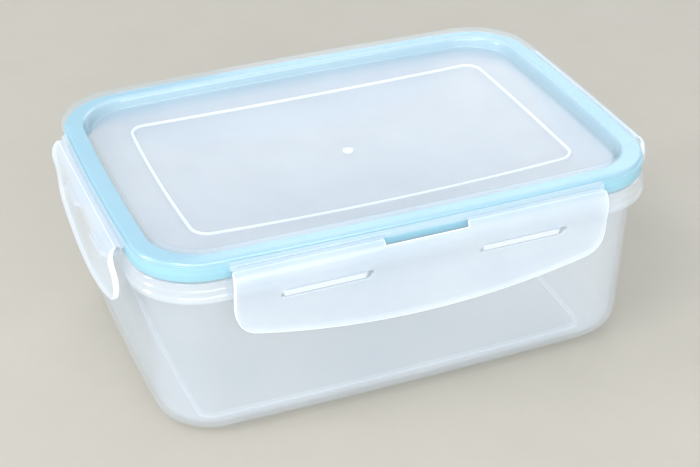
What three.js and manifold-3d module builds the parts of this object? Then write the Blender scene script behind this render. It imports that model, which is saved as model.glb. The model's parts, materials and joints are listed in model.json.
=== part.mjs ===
// A snap-lid food box: a tapered tub with a hooked rim, a stacking lid, a soft seal in the lid's
// channel, and four clip flaps, each hanging from a thin moulded hinge on one side of the lid.
// Millimetres, +Z up. The origin is the middle of the footprint, on the surface that the box
// stands on, with the long side along X. The flaps hang just short of their catches.
import * as THREE from 'three';
import { mergeVertices } from 'three/addons/utils/BufferGeometryUtils.js';
import Module from 'manifold-3d';

const wasm = await Module();
wasm.setup();

// ---- Driving dimensions -------------------------------------------------------------------

// The rim outline in plan. Every moulding is measured inwards from it by an inset.
const LENGTH = 200;
const WIDTH = 140;
const CORNER = 23;
const CORNER_EASE = 0.6; // corner radius lost for each millimetre of inset
const BOW = 2.2; // each side bulges outwards this far at its middle
const BOW_EASE = 0.07; // bulge lost for each millimetre of inset
const CORNER_STEPS = 6;
const SIDE_STEPS = 7;
const DEEPEST_INSET = 24; // further in, the outline only shrinks towards its middle

// Heights
const HEIGHT = 81; // top of the lid's crown
const PANEL_TOP = 76.2; // sunken stacking panel of the lid, at its edge
const PANEL_SAG = 4.6; // the panel dips this far in its middle
const LIP_BOTTOM = 78.2; // lower edge of the lid's crown
const CHANNEL_ROOF = 79.6; // inside of the crown, over the seal
const RIM_TOP = 72; // top of the tub's rim
const RIM_UNDER = 70.5; // underside of the rim, between skirt and wall
const FLANGE_BOTTOM = 64; // lower edge of the rim's outer skirt
const PLUG_BOTTOM = 70; // lower edge of the lid's plug wall
const FOOT = 1.2; // height of the foot ring

// Walls
const WALL = 1.5;
const LID_WALL = 1.4;
const DRAFT = Math.tan(THREE.MathUtils.degToRad(2.3));
const FLANGE_WIDTH = 3.9; // tub wall's inset at the skirt's lower edge
const BOTTOM_RADIUS = 10;
const GAP = 0.3; // clearance between mouldings that touch

// Lid crown and what stands on the panel
const CROWN_WIDTH = 9.5;
const CROWN_RADIUS = 2.3;
const PANEL_INSET = 10.3;
const PANEL_RINGS = [PANEL_INSET, 16, 24, 36, 48, 60, WIDTH / 2];
const SEAT = { length: 150.3, width: 88.9, radius: 6, line: 1.2, height: 0.5 };
const GATE = { radius: 2.2, line: 0.8, height: 0.4 };

// Foot ring
const FOOT_RING = { length: 158.3, width: 101.2, radius: 5, line: 1.8 };

// Flaps. Their sections are measured outwards and upwards from the hinge axis.
const HINGE_OUT = 3.1; // hinge axis outside the straight sides of the rim outline
const HINGE_Z = 76.9;
const WEB_RADIUS = 0.35;
const WEB_GAP = 0.65; // hinge axis to the edges that the web joins
const LEDGE_REACH = 4; // hinge axis in to the lip behind the ledge
const LONG_FLAP = 143.6;
const SHORT_FLAP = 86;
const FLAP_WALL = 1.4;
const FLAP_DEPTH = 32.8; // hinge to the lowest point of the flap's edge
const FLAP_SIDE_DEPTH = 25.8; // hinge to the ends of the flap's curved lower edge
const FLAP_CORNER = { width: 8, height: 11.5 };
const FLAP_RIM = 1.3; // thickness of the turned-in edge round the flap
const NOTCH = { length: 32, depth: 1.4 }; // opening in the middle of a long flap's hinge

// Catches on the tub's skirt, and the flap slots that drop over them
const CATCH = { bottom: 64.2, thickness: 1.6, reach: 1.1, chamfer: 1.4 };
const SLOT = { bottom: 63.5, height: 3.2, margin: 1.2 };
const LONG_CATCH = { middle: 37.9, length: 32 };
const SHORT_CATCH = { middle: 19.3, length: 16.5 };

const COLOUR = { tub: 0xd9e2ea, lid: 0xd4e3ec, flap: 0xe4eef8, seal: 0x8edcf2 };

const v2 = (x, y) => new THREE.Vector2(x, y);

// ---- Solids -------------------------------------------------------------------------------

function toSolid(geometry) {
  const bare = geometry.clone();
  bare.deleteAttribute('normal');
  bare.deleteAttribute('uv');
  const merged = mergeVertices(bare, 1e-4);
  const triangles = [];
  for (let i = 0; i < merged.index.count; i += 3) {
    const triangle = [0, 1, 2].map((k) => merged.index.getX(i + k));
    if (new Set(triangle).size === 3) {
      triangles.push(...triangle);
    }
  }
  const vertProperties = Float32Array.from(merged.attributes.position.array);
  const triVerts = Uint32Array.from(triangles);
  return new wasm.Manifold(new wasm.Mesh({ numProp: 3, vertProperties, triVerts }));
}

function toGeometry(solid) {
  const { vertProperties, triVerts } = solid.getMesh();
  const geometry = new THREE.BufferGeometry();
  geometry.setAttribute('position', new THREE.BufferAttribute(vertProperties, 3));
  geometry.setIndex(new THREE.BufferAttribute(triVerts, 1));
  geometry.computeVertexNormals();
  return geometry;
}

// Rounded rectangle whose sides bulge outwards by the bow, anticlockwise from +X.
function bowedRectangle(length, width, radius, bow) {
  const points = [];
  for (let corner = 0; corner < 4; corner += 1) {
    const signX = corner === 0 || corner === 3 ? 1 : -1;
    const signY = corner < 2 ? 1 : -1;
    const centre = v2(signX * (length / 2 - radius), signY * (width / 2 - radius));
    for (let step = 0; step <= CORNER_STEPS; step += 1) {
      const angle = (corner + step / CORNER_STEPS) * (Math.PI / 2);
      points.push(v2(Math.cos(angle), Math.sin(angle)).multiplyScalar(radius).add(centre));
    }
    const from = points[points.length - 1];
    const to = corner % 2 === 0 ? v2(-from.x, from.y) : v2(from.x, -from.y);
    for (let step = 1; step < SIDE_STEPS; step += 1) {
      points.push(from.clone().lerp(to, step / SIDE_STEPS));
    }
  }
  return points.map((point) => {
    const bulgeX = bow * (1 - ((2 * point.y) / width) ** 2);
    const bulgeY = bow * (1 - ((2 * point.x) / length) ** 2);
    return v2(point.x * (1 + (2 * bulgeX) / length), point.y * (1 + (2 * bulgeY) / width));
  });
}

// The rim outline, moved inwards.
function rimOutline(inset) {
  const depth = Math.min(inset, DEEPEST_INSET);
  const radius = CORNER - CORNER_EASE * depth;
  const bow = BOW - BOW_EASE * depth;
  const outline = bowedRectangle(LENGTH - 2 * depth, WIDTH - 2 * depth, radius, bow);
  const middle = WIDTH / 2;
  const shrink = (middle - inset) / (middle - depth);
  return outline.map((point) => point.multiplyScalar(shrink));
}

// How far the lid's panel dips at a place, from nothing at its edge.
function panelDip(x, y) {
  const reach = BOW - (BOW_EASE + 1) * PANEL_INSET;
  const along = Math.max(0, 1 - (x / (LENGTH / 2 + reach)) ** 2);
  const across = Math.max(0, 1 - (y / (WIDTH / 2 + reach)) ** 2);
  return PANEL_SAG * along * across;
}

// Lets a geometry sink with the lid's panel.
function dipped(geometry) {
  const { position } = geometry.attributes;
  for (let i = 0; i < position.count; i += 1) {
    position.setZ(i, position.getZ(i) - panelDip(position.getX(i), position.getY(i)));
  }
  return geometry;
}

// Joins outlines that lie at different heights into one skin, in the order given. They run up on
// the outer side, and close on themselves or start and end at a point in the middle.
function skinOver(rings) {
  const stations = rings[0].outline.length;
  const lathePoints = rings.map(({ z }) => v2(1, z));
  const geometry = new THREE.LatheGeometry(lathePoints, stations);
  const { position } = geometry.attributes;
  for (let i = 0; i < position.count; i += 1) {
    const { outline, z } = rings[i % rings.length];
    const place = outline[Math.floor(i / rings.length) % stations];
    position.setXYZ(i, place.x, place.y, z);
  }
  return geometry;
}

// Carries a section, given as (inset, height) points, round the rim outline.
const rimSkin = (section) => skinOver(section.map(({ x, y }) => ({ outline: rimOutline(x), z: y })));
const sweepRim = (section) => toSolid(rimSkin(section));

// Arc in a section, from one angle to another in degrees.
function arc(x, y, radius, from, to, steps) {
  const points = [];
  for (let step = 0; step <= steps; step += 1) {
    const angle = THREE.MathUtils.degToRad(from + ((to - from) * step) / steps);
    points.push(v2(x + radius * Math.cos(angle), y + radius * Math.sin(angle)));
  }
  return points;
}

// Flat shape in plan, thickened upwards from a height.
function plate(shape, bottom, height) {
  const geometry = new THREE.ExtrudeGeometry(shape, { depth: height, bevelEnabled: false });
  geometry.translate(0, 0, bottom);
  return toSolid(geometry);
}

// Raised line along a rounded rectangle, centred on that rectangle.
function lineRing({ length, width, radius, line }, bottom, height) {
  const edge = (grow) => bowedRectangle(length + grow, width + grow, radius + grow / 2, BOW / 2);
  const top = bottom + height;
  const [outer, inner] = [edge(line), edge(-line)];
  return skinOver([
    { outline: outer, z: bottom },
    { outline: outer, z: top },
    { outline: inner, z: top },
    { outline: inner, z: bottom },
    { outline: outer, z: bottom },
  ]);
}

// Stands a section up across a side and runs it along the side.
function alongSide(shape, length) {
  const geometry = new THREE.ExtrudeGeometry(shape, { depth: length, bevelEnabled: false });
  const basis = new THREE.Matrix4().makeBasis(
    new THREE.Vector3(0, -1, 0),
    new THREE.Vector3(0, 0, 1),
    new THREE.Vector3(-1, 0, 0),
  );
  geometry.applyMatrix4(basis);
  geometry.translate(length / 2, 0, 0);
  return toSolid(geometry);
}

function union(solids) {
  return solids.reduce((joined, solid) => joined.add(solid));
}

// ---- The four sides -----------------------------------------------------------------------

// Each side is drawn as the front one, facing -Y, and turned into place.
const SIDES = [
  { name: 'front', turn: 0, out: WIDTH / 2, flap: LONG_FLAP, catches: LONG_CATCH, notched: true },
  { name: 'right', turn: 1, out: LENGTH / 2, flap: SHORT_FLAP, catches: SHORT_CATCH, notched: false },
  { name: 'back', turn: 2, out: WIDTH / 2, flap: LONG_FLAP, catches: LONG_CATCH, notched: true },
  { name: 'left', turn: 3, out: LENGTH / 2, flap: SHORT_FLAP, catches: SHORT_CATCH, notched: false },
];

// Stretches of hinge along a side, as a middle and a length.
function hingeStretches(side) {
  if (!side.notched) {
    return [{ name: `hinge_web_${side.name}`, middle: 0, length: side.flap }];
  }
  const length = (side.flap - NOTCH.length) / 2;
  const middle = (NOTCH.length + length) / 2;
  return [
    { name: `hinge_web_${side.name}_a`, middle: -middle, length },
    { name: `hinge_web_${side.name}_b`, middle, length },
  ];
}

// Bar along a side, from one distance out to a further one, with chamfered outer ends.
function sideBar({ middle, length }, inner, outer, chamfer) {
  const half = length / 2;
  return new THREE.Shape([
    v2(middle - half, -inner),
    v2(middle - half, -(outer - chamfer)),
    v2(middle - half + chamfer, -outer),
    v2(middle + half - chamfer, -outer),
    v2(middle + half, -(outer - chamfer)),
    v2(middle + half, -inner),
  ]);
}

const turned = (solid, side) => solid.rotate([0, 0, side.turn * 90]);

// ---- Tub ----------------------------------------------------------------------------------

const tubWallInset = (z) => FLANGE_WIDTH + (FLANGE_BOTTOM - z) * DRAFT;

function tubSection() {
  const turnZ = FOOT + BOTTOM_RADIUS;
  const turnInset = tubWallInset(turnZ) + BOTTOM_RADIUS;
  const outerTurn = arc(turnInset, turnZ, BOTTOM_RADIUS, 270, 180, 5);
  const innerTurn = arc(turnInset, turnZ, BOTTOM_RADIUS - WALL, 180, 270, 4);
  return [
    v2(WIDTH / 2, FOOT),
    ...outerTurn,
    v2(tubWallInset(RIM_UNDER), RIM_UNDER),
    v2(2.1, RIM_UNDER),
    v2(1.6, FLANGE_BOTTOM),
    v2(0.3, FLANGE_BOTTOM),
    v2(0, FLANGE_BOTTOM + 0.4),
    v2(0, 66),
    v2(0.4, 66.8),
    v2(0.4, 68.8),
    v2(0.8, 69.4),
    v2(0.8, RIM_TOP - 0.4),
    v2(1.2, RIM_TOP),
    v2(4.8, RIM_TOP),
    v2(5.2, RIM_TOP - 0.5),
    ...innerTurn,
    v2(WIDTH / 2, FOOT + WALL),
  ];
}

// A pair of tabs that stand out of the skirt's lower edge, up to just inside the flap.
function catchPair(side) {
  const inner = side.out - 1;
  const outer = side.out + HINGE_OUT + CATCH.reach;
  return [-1, 1].map((sign) => {
    const bar = { middle: sign * side.catches.middle, length: side.catches.length };
    const shape = sideBar(bar, inner, outer, CATCH.chamfer);
    return turned(plate(shape, CATCH.bottom, CATCH.thickness), side);
  });
}

function tub() {
  const shell = sweepRim(tubSection());
  const foot = toSolid(lineRing(FOOT_RING, 0, FOOT + WALL / 2));
  return union([shell, foot, ...SIDES.flatMap(catchPair)]);
}

// ---- Lid ----------------------------------------------------------------------------------

// Crown and plug wall in section, with the middle of the panel closed at both of its faces.
function lidSection() {
  const shoulder = HEIGHT - CROWN_RADIUS;
  const panel = (z) => PANEL_RINGS.map((inset) => v2(inset, z));
  return [
    ...panel(PANEL_TOP - LID_WALL).reverse(),
    v2(PANEL_INSET, PLUG_BOTTOM),
    v2(PANEL_INSET - 1.3, PLUG_BOTTOM),
    v2(CROWN_WIDTH - 1.3, CHANNEL_ROOF),
    v2(2.2, CHANNEL_ROOF),
    v2(LID_WALL, CHANNEL_ROOF - 0.8),
    v2(LID_WALL, LIP_BOTTOM),
    v2(0, LIP_BOTTOM),
    ...arc(CROWN_RADIUS, shoulder, CROWN_RADIUS, 180, 90, 4),
    ...arc(CROWN_WIDTH - CROWN_RADIUS, shoulder, CROWN_RADIUS, 90, 0, 4),
    ...panel(PANEL_TOP),
  ];
}

// Section of the ledge that hangs from the lip, outwards and upwards from the hinge axis.
function ledgeSection() {
  const half = LID_WALL / 2;
  return new THREE.Shape([
    v2(-WEB_GAP, -half),
    v2(-WEB_GAP, half),
    v2(-0.9, 1.4),
    v2(-LEDGE_REACH, 2.6),
    v2(-LEDGE_REACH, -half),
  ]);
}

// Straight ledge under the lip of one side, from which the side's webs spring.
function hingeLedge(side) {
  const bar = alongSide(ledgeSection(), side.flap);
  return turned(bar.translate([0, -(side.out + HINGE_OUT), HINGE_Z]), side);
}

// Round mark in the middle of the panel.
function gateMark() {
  const shape = new THREE.Shape().absarc(0, 0, GATE.radius, 0, 2 * Math.PI, false);
  shape.holes.push(new THREE.Path().absarc(0, 0, GATE.radius - GATE.line, 0, 2 * Math.PI, true));
  return plate(shape, PANEL_TOP - PANEL_SAG - GATE.height, 2 * GATE.height);
}

function lid() {
  const shell = toSolid(dipped(rimSkin(lidSection())));
  const inside = sweepRim([v2(WIDTH / 2, 60), v2(0.6, 60), v2(0.6, 90), v2(WIDTH / 2, 90)]);
  const ledges = union(SIDES.map(hingeLedge)).subtract(inside);
  const seat = toSolid(dipped(lineRing(SEAT, PANEL_TOP - SEAT.height, 2 * SEAT.height)));
  return union([shell, ledges, seat, gateMark()]);
}

// ---- Seal ---------------------------------------------------------------------------------

// Fills the lid's channel, bulges out under the lip and turns down inside the tub's mouth.
function seal() {
  const bottom = RIM_TOP + GAP;
  const roof = CHANNEL_ROOF - GAP;
  const skirt = LID_WALL + GAP;
  return sweepRim([
    v2(1.4, bottom),
    v2(1, bottom + 0.6),
    v2(1, LIP_BOTTOM - 0.8),
    v2(skirt, LIP_BOTTOM - GAP),
    v2(skirt, roof - 0.8),
    v2(skirt + 0.8, roof),
    v2(CROWN_WIDTH - 1.3 - GAP - 0.2, roof),
    v2(CROWN_WIDTH - 1.3 - GAP, PLUG_BOTTOM + 0.2),
    v2(6.2, PLUG_BOTTOM + 0.2),
    v2(5.7, bottom),
    v2(1.4, bottom),
  ]);
}

// ---- Flaps --------------------------------------------------------------------------------

// Outer face of a flap's section: over the shoulder, out round the bulge and down to the edge.
function flapFace() {
  const curve = new THREE.SplineCurve([
    v2(WEB_GAP, 0.1),
    v2(1.9, -0.4),
    v2(3.4, -2.8),
    v2(3.9, -6.5),
    v2(3.1, -11.5),
    v2(2.8, -16),
    v2(2.9, -24),
    v2(3, -FLAP_DEPTH - 1),
  ]);
  return curve.getPoints(16);
}

// Section between the outer face and the same face moved inwards.
function flapWallSection(face) {
  const inside = face.map((point, i) => {
    const before = face[Math.max(i - 1, 0)];
    const after = face[Math.min(i + 1, face.length - 1)];
    const along = after.clone().sub(before).normalize();
    return v2(point.x + along.y * FLAP_WALL, point.y - along.x * FLAP_WALL);
  });
  inside[0].set(WEB_GAP, -FLAP_WALL / 2);
  return new THREE.Shape([...face, ...inside.reverse()]);
}

// Section of the turned-in edge: from the outer face in towards the tub, and no deeper than the
// wall itself below the catches.
function flapRimSection(face) {
  return new THREE.Shape([
    ...face,
    v2(1.6, -FLAP_DEPTH - 1),
    v2(1.6, -22),
    v2(0.8, -15),
    v2(0.8, -3),
    v2(WEB_GAP, -0.8),
  ]);
}

// Front view of a flap, moved inwards. The corners run on into the curved lower edge.
function flapEdge(length, inset) {
  const half = length / 2 - inset;
  const side = FLAP_SIDE_DEPTH - inset;
  const depth = FLAP_DEPTH - inset;
  const { width, height } = FLAP_CORNER;
  const slope = (2 * (depth - side)) / (half - width);
  const shape = new THREE.Shape();
  shape.moveTo(half, 2);
  shape.lineTo(-half, 2);
  shape.lineTo(-half, height - side);
  shape.quadraticCurveTo(-half, width * slope - side, width - half, -side);
  shape.quadraticCurveTo(0, side - 2 * depth, half - width, -side);
  shape.quadraticCurveTo(half, width * slope - side, half, height - side);
  shape.closePath();
  return shape;
}

// Drives a front view straight through a flap.
function throughFlap(shape) {
  const geometry = new THREE.ExtrudeGeometry(shape, { depth: 12, bevelEnabled: false, curveSegments: 8 });
  geometry.rotateX(Math.PI / 2);
  geometry.translate(0, 4, 0);
  return toSolid(geometry);
}

function slotShape({ middle, length }) {
  const half = length / 2 + SLOT.margin;
  const bottom = SLOT.bottom - HINGE_Z;
  const top = bottom + SLOT.height;
  const point = SLOT.height / 2;
  return new THREE.Shape([
    v2(middle - half, bottom),
    v2(middle + half - point, bottom),
    v2(middle + half, bottom + point),
    v2(middle + half, top),
    v2(middle - half + point, top),
    v2(middle - half, top - point),
  ]);
}

function notchShape() {
  const half = NOTCH.length / 2;
  return new THREE.Shape([
    v2(-half, -NOTCH.depth),
    v2(half - 1, -NOTCH.depth),
    v2(half, -NOTCH.depth + 1),
    v2(half, 3),
    v2(-half, 3),
  ]);
}

function flap(side) {
  const face = flapFace();
  const wall = alongSide(flapWallSection(face), side.flap);
  const inner = throughFlap(flapEdge(side.flap, FLAP_RIM));
  const rim = alongSide(flapRimSection(face), side.flap).subtract(inner);
  const edge = throughFlap(flapEdge(side.flap, 0));
  const slots = [-1, 1].map((sign) => {
    const { middle, length } = side.catches;
    return throughFlap(slotShape({ middle: sign * middle, length }));
  });
  const body = wall.add(rim).intersect(edge).subtract(union(slots));
  return side.notched ? body.subtract(throughFlap(notchShape())) : body;
}

// ---- Assembly -----------------------------------------------------------------------------

function named(name, geometry, color, roughness) {
  const mesh = new THREE.Mesh(geometry, new THREE.MeshStandardMaterial({ color, roughness, metalness: 0 }));
  mesh.name = name;
  return mesh;
}

// One side's flap and webs, in a group that stands on the hinge axis.
function sideGroup(side) {
  const group = new THREE.Group();
  group.add(named(`flap_${side.name}`, toGeometry(flap(side)), COLOUR.flap, 0.35));
  hingeStretches(side).forEach(({ name, middle, length }) => {
    const web = named(name, new THREE.CylinderGeometry(WEB_RADIUS, WEB_RADIUS, length, 6), COLOUR.flap, 0.35);
    web.rotation.z = Math.PI / 2;
    web.position.x = middle;
    group.add(web);
  });
  group.position.set(0, -(side.out + HINGE_OUT), HINGE_Z);
  const turntable = new THREE.Group();
  turntable.add(group);
  turntable.rotation.z = (side.turn * Math.PI) / 2;
  return turntable;
}

const box = new THREE.Group();
box.add(named('tub', toGeometry(tub()), COLOUR.tub, 0.3));
box.add(named('lid', toGeometry(lid()), COLOUR.lid, 0.3));
box.add(named('seal', toGeometry(seal()), COLOUR.seal, 0.55));
box.add(...SIDES.map(sideGroup));

export default box;
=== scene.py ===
"""A milky clip-lid food box: tub, dished stacking lid, blue seal, four flaps and their thin hinges.

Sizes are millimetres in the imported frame, +Z up with the front towards -Y. Meshes are made in
metres. A section is a list of (inset, height) points, where the inset is measured inwards from the
outline of the rim. A flap is drawn flat, as (along, down) points from its hinge edge.
"""
import json
import logging
import math
from collections.abc import Callable, Sequence
from dataclasses import dataclass, field, replace
from enum import Enum
from itertools import pairwise

import bmesh
import bpy
import numpy as np
from mathutils import Matrix, Vector
from mathutils.geometry import delaunay_2d_cdt


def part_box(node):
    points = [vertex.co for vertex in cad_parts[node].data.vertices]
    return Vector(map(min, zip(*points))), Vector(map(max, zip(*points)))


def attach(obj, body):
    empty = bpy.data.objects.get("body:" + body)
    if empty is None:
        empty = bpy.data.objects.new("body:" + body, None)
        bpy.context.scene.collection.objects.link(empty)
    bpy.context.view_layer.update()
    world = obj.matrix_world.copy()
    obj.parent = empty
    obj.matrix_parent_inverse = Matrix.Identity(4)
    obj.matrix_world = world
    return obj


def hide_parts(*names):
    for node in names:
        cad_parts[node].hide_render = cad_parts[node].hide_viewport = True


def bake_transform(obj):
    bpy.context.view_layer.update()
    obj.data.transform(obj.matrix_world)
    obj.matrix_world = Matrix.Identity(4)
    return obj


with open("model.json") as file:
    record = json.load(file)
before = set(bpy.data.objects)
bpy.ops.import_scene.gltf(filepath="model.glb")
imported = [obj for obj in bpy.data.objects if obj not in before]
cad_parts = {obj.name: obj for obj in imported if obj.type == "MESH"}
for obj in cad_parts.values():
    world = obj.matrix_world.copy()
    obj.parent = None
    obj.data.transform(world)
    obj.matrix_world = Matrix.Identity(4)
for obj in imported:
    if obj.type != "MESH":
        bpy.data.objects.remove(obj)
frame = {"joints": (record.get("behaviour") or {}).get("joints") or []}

log = logging.getLogger("food_box")

MM = 0.001
SAME_PLACE = 2e-6  # metres; points nearer than this become one
CORNER_SHARE = 0.49  # of an edge that one rounded corner may take up
QUARTER = np.radians((0, 22, 45, 67, 90))  # steps round a quarter circle
SWELL = 0.016  # four times how far a filled-in edge bows
SMOOTH_ANGLE = math.radians(38)

Points = Sequence[tuple[float, float]]
PointList = list[tuple[float, float]]
Corners = Sequence[tuple[float, float, float]]
Rim = tuple[np.ndarray, list[int]]  # a loop on a flat drawing, and its points' numbers in a skin
Runs = Sequence[tuple["Finish", Points]]  # a section in runs of one finish each, end to end


# ---- Outlines and sections ----


def arc(centre: tuple[float, float], radius: float, start: float, end: float, steps: int) -> PointList:
    """Points along an arc.

    Args:
        centre: Middle of the arc.
        radius: Its radius.
        start: First angle in degrees.
        end: Last angle in degrees.
        steps: Number of chords.

    Returns:
        The points from start to end.
    """
    angles = np.radians(np.linspace(start, end, steps + 1))
    return [(centre[0] + radius * math.cos(a), centre[1] + radius * math.sin(a)) for a in angles]


def rounded(corners: Corners, closed: bool = False, steps: int = 4) -> PointList:
    """Rounds a path at its corners.

    Args:
        corners: x, y and radius of each corner.
        closed: Whether the last corner joins the first.
        steps: Chords in each arc.

    Returns:
        The points of the rounded path.
    """
    points: PointList = []
    for i, (x, y, radius) in enumerate(corners):
        if radius == 0 or (not closed and i in (0, len(corners) - 1)):
            points.append((x, y))
            continue
        here = Vector((x, y))
        to_before = Vector(corners[i - 1][:2]) - here
        to_after = Vector(corners[(i + 1) % len(corners)][:2]) - here
        half = to_before.angle(to_after) / 2
        room = CORNER_SHARE * min(to_before.length, to_after.length)
        reach = min(radius / math.tan(half), room)
        real = reach * math.tan(half)
        bisector = (to_before.normalized() + to_after.normalized()).normalized()
        centre = here + bisector * (real / math.sin(half))
        spoke = here + to_before.normalized() * reach - centre
        turn = spoke.angle_signed(here + to_after.normalized() * reach - centre)
        for step in range(steps + 1):
            place = centre + Matrix.Rotation(-turn * step / steps, 2) @ spoke
            points.append((place.x, place.y))
    return points


def moved_in(loop: np.ndarray, distance: float) -> np.ndarray:
    """Moves an anticlockwise loop inwards.

    Args:
        loop: Rows of x and y.
        distance: How far each edge moves, negative for outwards.

    Returns:
        The moved loop, point for point.
    """
    edge = np.roll(loop, -1, axis=0) - loop
    edge /= np.linalg.norm(edge, axis=1, keepdims=True)
    inwards = np.column_stack((-edge[:, 1], edge[:, 0]))
    mitre = inwards + np.roll(inwards, 1, axis=0)
    mitre /= np.sum(mitre * inwards, axis=1, keepdims=True)
    return loop + mitre * distance


def filled_in(loop: Points, spacing: float) -> np.ndarray:
    """Adds points along the long edges of a closed anticlockwise loop.

    The edges swell a hair outwards, so no three neighbours are in line.

    Args:
        loop: The points.
        spacing: Longest edge that stays whole.

    Returns:
        Rows of x and y.
    """
    rows = []
    for start, end in zip(loop, [*loop[1:], loop[0]]):
        length = math.dist(start, end)
        count = max(1, math.ceil(length / spacing))
        step_x, step_y = end[0] - start[0], end[1] - start[1]
        for share in np.arange(count) / count:
            swell = SWELL * share * (1 - share) / length
            x, y = start[0] + share * step_x, start[1] + share * step_y
            rows.append((x + swell * step_y, y - swell * step_x))
    return np.array(rows)


def inside(points: np.ndarray, loop: np.ndarray) -> np.ndarray:
    """Says which points lie inside a loop.

    Args:
        points: Rows of x and y.
        loop: Rows of x and y.

    Returns:
        One truth value for each point.
    """
    x, y = points[:, :1], points[:, 1:]
    x0, y0 = loop[:, 0], loop[:, 1]
    x1, y1 = np.roll(x0, -1), np.roll(y0, -1)
    spans = (y0 > y) != (y1 > y)
    rise = np.where(y1 == y0, 1, y1 - y0)
    crossings = spans & (x < x0 + (y - y0) * (x1 - x0) / rise)
    return crossings.sum(axis=1) % 2 == 1


@dataclass(frozen=True)
class Outline:
    """A rounded rectangle in plan whose sides bulge outwards."""

    length: float
    width: float
    corner: float
    bow: float
    corner_ease: float = 1.0
    bow_ease: float = 0.0
    deepest: float = 24.0
    corner_steps: int = 18
    side_steps: int = 24

    def loop(self, inset: float) -> np.ndarray:
        """The outline moved inwards; beyond the deepest inset it only shrinks.

        Args:
            inset: How far inwards.

        Returns:
            Rows of x and y, anticlockwise from +X.
        """
        depth = min(inset, self.deepest)
        length, width = self.length - 2 * depth, self.width - 2 * depth
        radius = self.corner - self.corner_ease * depth
        bow = self.bow - self.bow_ease * depth
        points: PointList = []
        for turn, (sign_x, sign_y) in enumerate(((1, 1), (-1, 1), (-1, -1), (1, -1))):
            centre = (sign_x * (length / 2 - radius), sign_y * (width / 2 - radius))
            points += arc(centre, radius, 90 * turn, 90 * turn + 90, self.corner_steps)
            x, y = points[-1]
            end = (-x, y) if turn % 2 == 0 else (x, -y)
            for step in range(1, self.side_steps):
                share = step / self.side_steps
                points.append((x + share * (end[0] - x), y + share * (end[1] - y)))
        loop = np.array(points)
        across = bow * (1 - (2 * loop[:, 1] / width) ** 2)
        along = bow * (1 - (2 * loop[:, 0] / length) ** 2)
        grown = loop * (1 + 2 * np.column_stack((across / length, along / width)))
        return grown * (self.width / 2 - inset) / (self.width / 2 - depth)


RIM = Outline(length=200, width=140, corner=23, bow=2.2, corner_ease=0.6, bow_ease=0.07)


# ---- Meshes ----


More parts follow.
